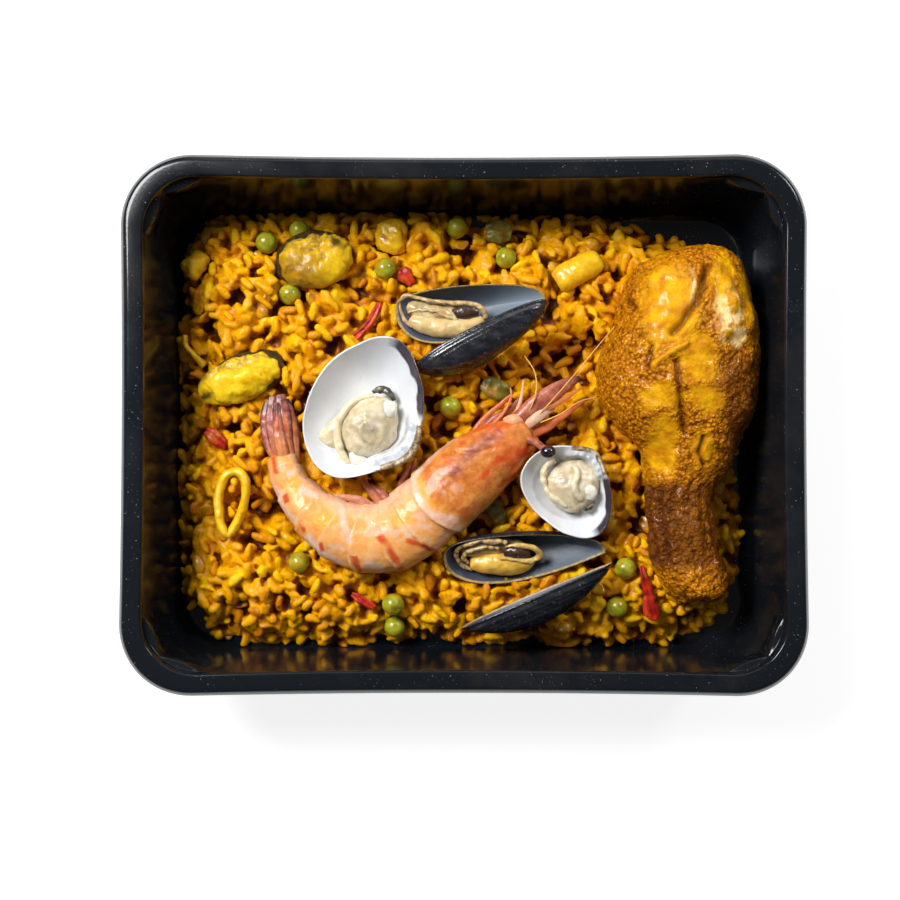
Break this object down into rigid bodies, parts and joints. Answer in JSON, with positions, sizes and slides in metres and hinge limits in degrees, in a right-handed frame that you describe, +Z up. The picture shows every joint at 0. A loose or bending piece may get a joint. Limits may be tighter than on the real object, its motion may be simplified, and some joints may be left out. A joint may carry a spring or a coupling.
{
  "type": "paella",
  "caption": "Seafood and chicken paella in a black oven-proof meal tray: saffron rice with a drumstick, prawn, clams, mussels, squid, peas and peppers.",
  "frame": {"origin": "middle of the tray's underside", "axes": "+X along the tray's long side, towards the drumstick; +Y along its short side, away from the viewer; +Z up"},
  "size_m": [0.2276, 0.1792, 0.05],
  "materials": {
    "tray": "black satin CPET, thermoformed",
    "rice": null,
    "chicken": null,
    "prawn": "cooked prawn shell, translucent orange",
    "clam_shell": null,
    "clam_meat": null,
    "mussel_shell": null,
    "mussel_meat": null,
    "sauced_mussel": "shelled mussel under yellow sauce",
    "squid": "cooked squid under yellow sauce",
    "pea": "cooked pea",
    "red_pepper": "cooked red pepper",
    "green_pepper": "cooked green pepper"
  },
  "bodies": {
    "root": {"clam_large_meat": "clam_meat", "clam_large_shell": "clam_shell", "clam_small_meat": "clam_meat", "clam_small_shell": "clam_shell", "drumstick": "chicken", "green_pepper_back": "green_pepper", "green_pepper_middle": "green_pepper", "green_pepper_shade": "green_pepper", "mussel_lower_meat": "mussel_meat", "mussel_lower_valve_a": "mussel_shell", "mussel_lower_valve_b": "mussel_shell", "mussel_upper_meat": "mussel_meat", "mussel_upper_valve_a": "mussel_shell", "mussel_upper_valve_b": "mussel_shell", "pea_01": "pea", "pea_02": "pea", "pea_03": "pea", "pea_04": "pea", "pea_05": "pea", "pea_06": "pea", "pea_07": "pea", "pea_08": "pea", "pea_09": "pea", "pea_10": "pea", "pea_11": "pea", "pea_12": "pea", "pepper_behind_mussel": "red_pepper", "pepper_left": "red_pepper", "pepper_strip_front": "red_pepper", "pepper_strip_middle": "red_pepper", "pepper_strip_right": "red_pepper", "prawn": "prawn", "rice_bed": "rice", "shelled_mussel_back": "sauced_mussel", "shelled_mussel_left": "sauced_mussel", "squid_chunk_back": "squid", "squid_chunk_left": "squid", "squid_chunk_right": "squid", "squid_ring": "squid", "squid_strip": "squid", "tray": "tray"}
  },
  "joints": []
}
